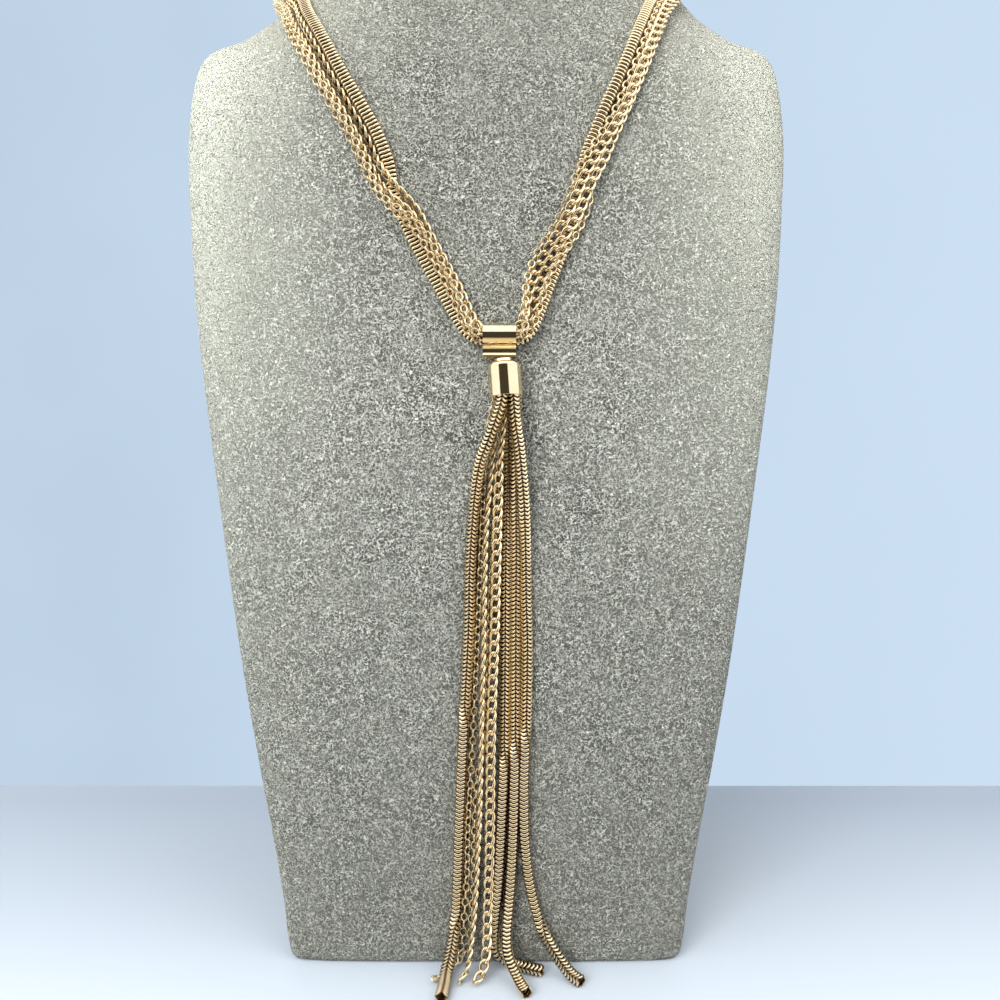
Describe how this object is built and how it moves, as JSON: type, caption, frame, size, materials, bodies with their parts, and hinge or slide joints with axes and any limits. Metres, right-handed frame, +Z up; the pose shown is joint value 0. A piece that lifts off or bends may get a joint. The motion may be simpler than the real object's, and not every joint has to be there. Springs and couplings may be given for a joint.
{
  "type": "tassel necklace on a neck bust",
  "caption": "Necklace of snake, curb and cable chains gathered by a slide bail, with a long chain tassel under a barrel cap, worn by a plain velvet neck bust.",
  "frame": {"origin": "middle of the bust's flat base, on the floor", "axes": "+Z up, +Y from the viewer to the back of the bust, +X to the viewer's right"},
  "size_m": [0.189, 0.1496, 0.33],
  "materials": {
    "velvet": "short pile velvet, grey-green",
    "polished_gold": "polished gold plating",
    "snake_gold": "bright gold plating on plates",
    "link_gold": "gold plating on wire links"
  },
  "bodies": {
    "root": {"bust": "velvet", "slide_bail": "polished_gold", "link_pin": "polished_gold", "barrel_cap": "polished_gold", "clasp": "polished_gold", "neck_snake": "snake_gold", "neck_curb_1": "link_gold", "neck_curb_2": "link_gold", "neck_cable_1": "link_gold", "neck_cable_2": "link_gold", "tassel_snake_a": "snake_gold", "tassel_snake_b": "snake_gold", "tassel_snake_c": "snake_gold", "tassel_snake_d": "snake_gold", "tassel_curb_front": "link_gold", "tassel_curb_side": "link_gold", "tassel_cable_1": "link_gold", "tassel_cable_2": "link_gold"}
  },
  "joints": []
}
